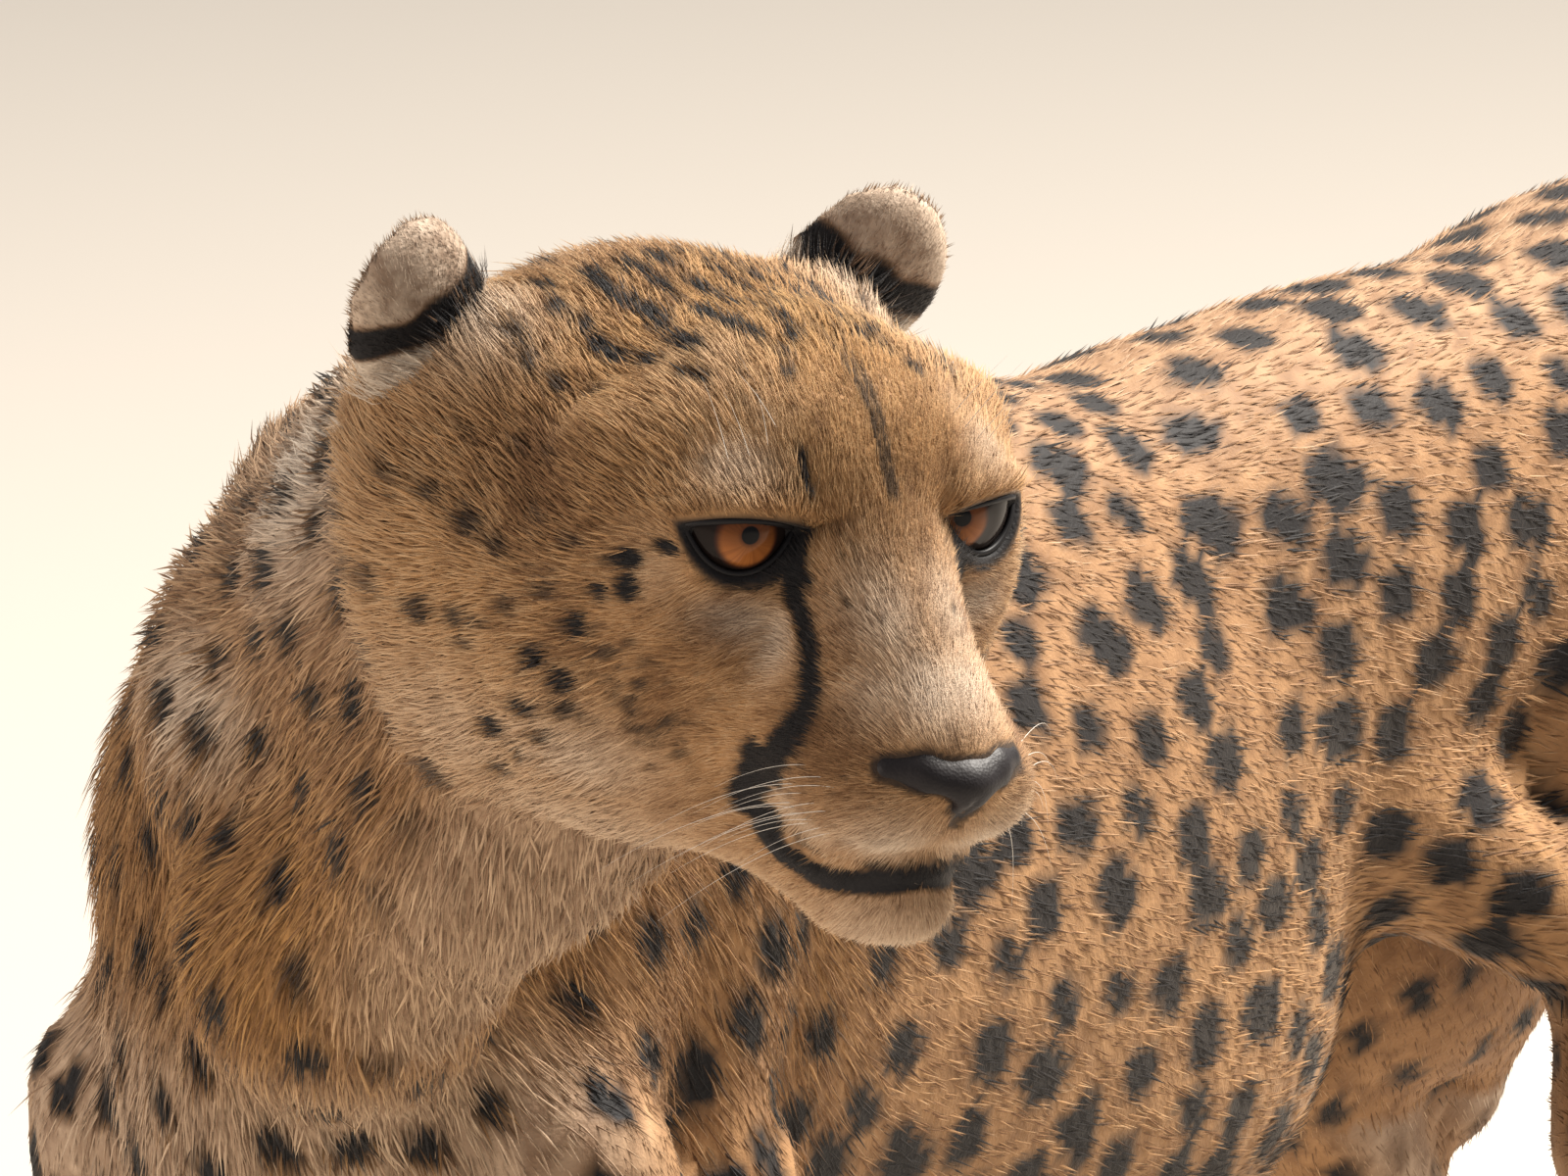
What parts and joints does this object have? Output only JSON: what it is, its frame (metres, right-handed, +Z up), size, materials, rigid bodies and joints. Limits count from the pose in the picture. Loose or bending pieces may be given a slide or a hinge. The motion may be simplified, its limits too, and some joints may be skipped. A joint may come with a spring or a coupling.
{
  "type": "cheetah",
  "caption": "Life-size still model of a standing cheetah with its head turned to its left, in one fixed pose on all four feet.",
  "frame": {"origin": "on the floor, under the middle of the whole animal's box", "axes": "+X from the rump to the shoulders along the trunk, +Y to the animal's left, +Z up"},
  "size_m": [1.3044, 0.4536, 0.8507],
  "materials": {
    "coat": "short dense fur, golden tan with solid black spots",
    "eye": "wet, glossy",
    "nose": "moist black leather",
    "claw": "dark horn, satin"
  },
  "bodies": {
    "root": {"trunk": "coat", "neck": "coat", "head": "coat", "tail_base": "coat", "tail_tip": "coat", "foreleg_left": "coat", "forepaw_left": "coat", "thigh_left": "coat", "hind_leg_left": "coat", "hindpaw_left": "coat", "ear_left": "coat", "eye_left": "eye", "dewclaw_left": "claw", "foreclaw_left_1": "claw", "foreclaw_left_2": "claw", "foreclaw_left_3": "claw", "foreclaw_left_4": "claw", "hindclaw_left_1": "claw", "hindclaw_left_2": "claw", "hindclaw_left_3": "claw", "hindclaw_left_4": "claw", "foreleg_right": "coat", "forepaw_right": "coat", "thigh_right": "coat", "hind_leg_right": "coat", "hindpaw_right": "coat", "ear_right": "coat", "eye_right": "eye", "dewclaw_right": "claw", "foreclaw_right_1": "claw", "foreclaw_right_2": "claw", "foreclaw_right_3": "claw", "foreclaw_right_4": "claw", "hindclaw_right_1": "claw", "hindclaw_right_2": "claw", "hindclaw_right_3": "claw", "hindclaw_right_4": "claw", "nose": "nose"}
  },
  "joints": []
}
